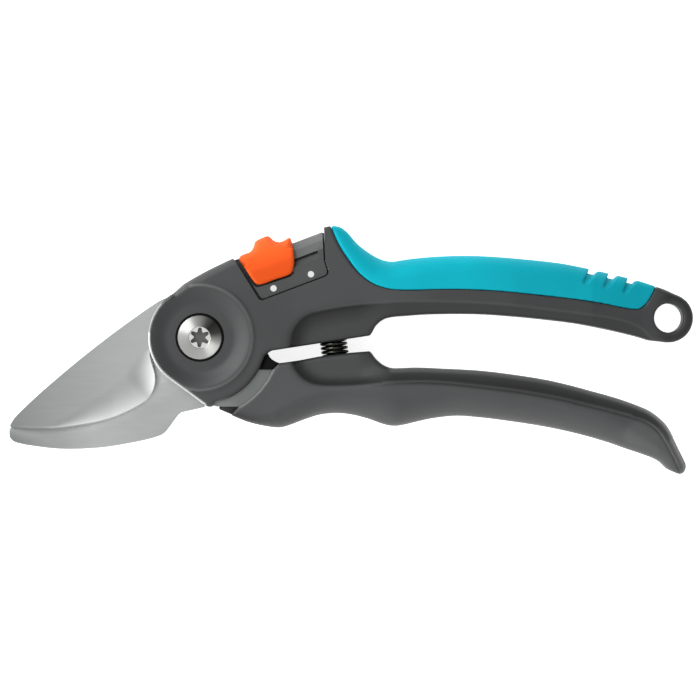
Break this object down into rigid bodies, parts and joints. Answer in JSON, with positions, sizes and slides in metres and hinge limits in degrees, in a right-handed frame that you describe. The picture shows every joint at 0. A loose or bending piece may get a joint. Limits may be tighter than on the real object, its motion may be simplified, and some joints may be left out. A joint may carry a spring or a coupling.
{
  "type": "bypass pruner",
  "caption": "Hand pruner with two bypass blades on one pivot, curved moulded handles, a return spring between them, a sliding thumb lock and a hanging eye.",
  "frame": {"origin": "on the pivot axis, at the flat outer face of the pivot nut", "axes": "+Z along the pivot axis from the nut to the screw head, +X along the handles away from the blades, +Y from the lower handle to the upper handle"},
  "size_m": [0.2188, 0.0791, 0.0194],
  "materials": {
    "graphite_plastic": "finely textured dark grey moulding",
    "turquoise_soft": "soft matt turquoise overmould",
    "orange_plastic": "satin orange moulding",
    "ground_steel": "fine ground stainless steel",
    "spring_steel": "dark oiled spring steel",
    "black_rubber": "matt black"
  },
  "bodies": {
    "upper_body": {"upper_handle": "graphite_plastic", "soft_grip": "turquoise_soft", "counter_blade": "ground_steel", "hook_pin_1": "ground_steel", "hook_pin_2": "ground_steel", "pivot_screw": "ground_steel", "pivot_bush": "black_rubber", "blade_washer": "black_rubber", "lock_washer": "spring_steel", "pivot_nut": "ground_steel", "lock_housing": "graphite_plastic", "detent_spring": "spring_steel", "upper_spring_seat": "graphite_plastic", "return_spring": "spring_steel"},
    "lower_body": {"lower_handle": "graphite_plastic", "cutting_blade": "ground_steel", "blade_pin_1": "ground_steel", "blade_pin_2": "ground_steel", "lower_spring_seat": "graphite_plastic", "closing_buffer": "black_rubber"},
    "lock_body": {"lock_slider": "orange_plastic", "lock_bolt": "ground_steel"}
  },
  "joints": [
    {"name": "handle_pivot", "type": "hinge", "parent": "upper_body", "child": "lower_body", "pos_m": [0, 0, 0.01], "axis": [0, 0, -1], "range_deg": [0, 30], "deforming": ["return_spring"]},
    {"name": "lock_slide", "type": "slide", "parent": "upper_body", "child": "lock_body", "axis": [0.9354, 0.3535, 0], "range_m": [0, 0.0098]}
  ]
}
